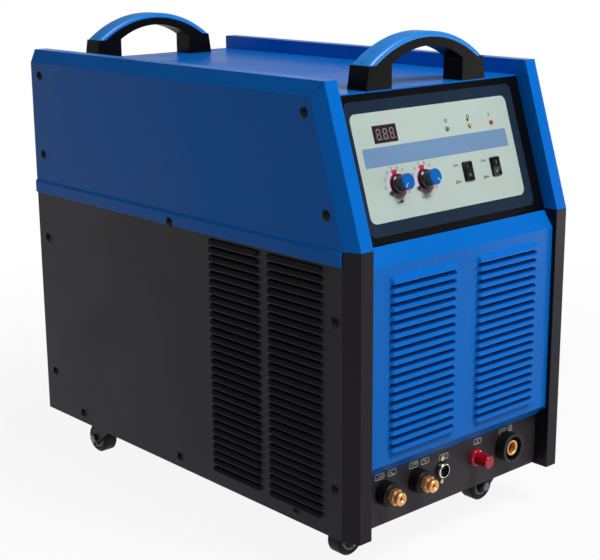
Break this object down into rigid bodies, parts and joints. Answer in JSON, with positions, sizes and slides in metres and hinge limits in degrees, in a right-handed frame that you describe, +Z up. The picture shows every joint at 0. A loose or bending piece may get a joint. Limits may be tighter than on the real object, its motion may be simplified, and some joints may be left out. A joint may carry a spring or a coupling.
{
  "type": "plasma cutter unit",
  "caption": "Mobile plasma cutter power unit: folded sheet cabinet with louvred sides, sloped control panel, recessed torch terminals, arched handles and swivel casters.",
  "frame": {"origin": "on the floor under the middle of the whole machine", "axes": "+Z up, -Y towards the front with the controls and terminals, +X to the right of someone who faces the front"},
  "size_m": [0.3508, 0.6176, 0.565],
  "materials": {
    "powder_blue": "semi-gloss powder coat",
    "powder_black": "fine-textured powder coat",
    "printed_film": "satin printed film",
    "black_plastic": "moulded",
    "dark_window": "polished",
    "green_lamp": "tinted",
    "amber_lamp": "tinted",
    "red_lamp": "tinted",
    "blue_plastic": "polished",
    "zinc_steel": "zinc plated",
    "nickel": "plated",
    "brass": "machined",
    "red_plastic": "moulded",
    "grey_plastic": "moulded",
    "black_screw": "blackened",
    "wheel_rubber": "moulded",
    "heatsink_alloy": "extruded",
    "circuit_board": "lacquered",
    "winding": "varnished",
    "pump_alloy": "cast"
  },
  "bodies": {
    "cabinet": {"base_tray": "powder_black", "side_panel_left": "powder_black", "side_panel_right": "powder_black", "cover_left": "powder_blue", "cover_right": "powder_blue", "top_plate": "powder_blue", "front_grille": "powder_blue", "terminal_panel": "powder_black", "control_panel": "powder_black", "panel_overlay": "printed_film", "display_module": "black_plastic", "display_window": "dark_window", "lamp_green": "green_lamp", "lamp_amber": "amber_lamp", "lamp_red": "red_lamp", "potentiometers": "zinc_steel", "rocker_housings": "black_plastic", "terminal_insulators": "black_plastic", "torch_connectors": "brass", "control_socket": "nickel", "control_socket_insert": "black_plastic", "binding_post": "red_plastic", "output_sleeve": "black_plastic", "output_contact": "brass", "front_handle": "black_plastic", "front_grip": "blue_plastic", "rear_handle": "black_plastic", "rear_grip": "blue_plastic", "handle_bolts": "zinc_steel", "rear_panel": "powder_black", "fan_frames": "black_plastic", "fan_guards": "zinc_steel", "breaker": "grey_plastic", "cable_gland": "black_plastic", "earth_stud": "brass", "caster_plates": "zinc_steel", "case_screws": "black_screw", "inner_deck": "zinc_steel", "heatsink": "heatsink_alloy", "inverter_board": "circuit_board", "main_transformer": "winding", "air_compressor": "pump_alloy"},
    "knob_left": {"knob_left": "black_plastic", "knob_left_cap": "blue_plastic"},
    "knob_right": {"knob_right": "black_plastic", "knob_right_cap": "blue_plastic"},
    "rocker_left": {"rocker_left": "black_plastic"},
    "rocker_right": {"rocker_right": "black_plastic"},
    "binding_cap": {"binding_cap": "red_plastic"},
    "fan_rotor_left": {"fan_rotor_left": "black_plastic"},
    "fan_rotor_right": {"fan_rotor_right": "black_plastic"},
    "breaker_toggle": {"breaker_toggle": "black_plastic"},
    "caster_fork_fl": {"caster_fork_fl": "powder_black"},
    "caster_wheel_fl": {"caster_wheel_fl": "wheel_rubber"},
    "caster_fork_fr": {"caster_fork_fr": "powder_black"},
    "caster_wheel_fr": {"caster_wheel_fr": "wheel_rubber"},
    "caster_fork_rl": {"caster_fork_rl": "powder_black"},
    "caster_wheel_rl": {"caster_wheel_rl": "wheel_rubber"},
    "caster_fork_rr": {"caster_fork_rr": "powder_black"},
    "caster_wheel_rr": {"caster_wheel_rr": "wheel_rubber"}
  },
  "joints": [
    {"name": "knob_left_turn", "type": "hinge", "parent": "cabinet", "child": "knob_left", "pos_m": [-0.076, -0.26502, 0.41572], "axis": [0, -0.9515, 0.3075], "range_deg": [-270, 0]},
    {"name": "knob_right_turn", "type": "hinge", "parent": "cabinet", "child": "knob_right", "pos_m": [-0.035, -0.26502, 0.41572], "axis": [0, -0.9515, 0.3075], "range_deg": [0, 270]},
    {"name": "rocker_left_tip", "type": "hinge", "parent": "cabinet", "child": "rocker_left", "pos_m": [0.032, -0.26407, 0.41542], "axis": [1, 0, 0], "range_deg": [0, 18]},
    {"name": "rocker_right_tip", "type": "hinge", "parent": "cabinet", "child": "rocker_right", "pos_m": [0.0775, -0.26407, 0.41542], "axis": [1, 0, 0], "range_deg": [-18, 0]},
    {"name": "binding_cap_turn", "type": "hinge", "parent": "cabinet", "child": "binding_cap", "pos_m": [0.037, -0.29375, 0.09], "axis": [0, -1, 0], "continuous": true},
    {"name": "fan_left_spin", "type": "hinge", "parent": "cabinet", "child": "fan_rotor_left", "pos_m": [-0.066, 0.26525, 0.397], "axis": [0, 1, 0], "continuous": true},
    {"name": "fan_right_spin", "type": "hinge", "parent": "cabinet", "child": "fan_rotor_right", "pos_m": [0.066, 0.26525, 0.397], "axis": [0, 1, 0], "continuous": true},
    {"name": "breaker_switch", "type": "hinge", "parent": "cabinet", "child": "breaker_toggle", "pos_m": [-0.082, 0.28825, 0.202], "axis": [1, 0, 0], "range_deg": [-60, 0]},
    {"name": "swivel_fl", "type": "hinge", "parent": "cabinet", "child": "caster_fork_fl", "pos_m": [-0.132, -0.22325, 0.044], "axis": [0, 0, 1], "continuous": true},
    {"name": "roll_fl", "type": "hinge", "parent": "caster_fork_fl", "child": "caster_wheel_fl", "pos_m": [-0.11, -0.22325, 0.019], "axis": [0, 1, 0], "continuous": true},
    {"name": "swivel_fr", "type": "hinge", "parent": "cabinet", "child": "caster_fork_fr", "pos_m": [0.132, -0.22325, 0.044], "axis": [0, 0, 1], "continuous": true},
    {"name": "roll_fr", "type": "hinge", "parent": "caster_fork_fr", "child": "caster_wheel_fr", "pos_m": [0.11, -0.22325, 0.019], "axis": [0, 1, 0], "continuous": true},
    {"name": "swivel_rl", "type": "hinge", "parent": "cabinet", "child": "caster_fork_rl", "pos_m": [-0.132, 0.19475, 0.044], "axis": [0, 0, 1], "continuous": true},
    {"name": "roll_rl", "type": "hinge", "parent": "caster_fork_rl", "child": "caster_wheel_rl", "pos_m": [-0.132, 0.21675, 0.019], "axis": [1, 0, 0], "continuous": true},
    {"name": "swivel_rr", "type": "hinge", "parent": "cabinet", "child": "caster_fork_rr", "pos_m": [0.132, 0.19475, 0.044], "axis": [0, 0, 1], "continuous": true},
    {"name": "roll_rr", "type": "hinge", "parent": "caster_fork_rr", "child": "caster_wheel_rr", "pos_m": [0.132, 0.21675, 0.019], "axis": [1, 0, 0], "continuous": true}
  ]
}
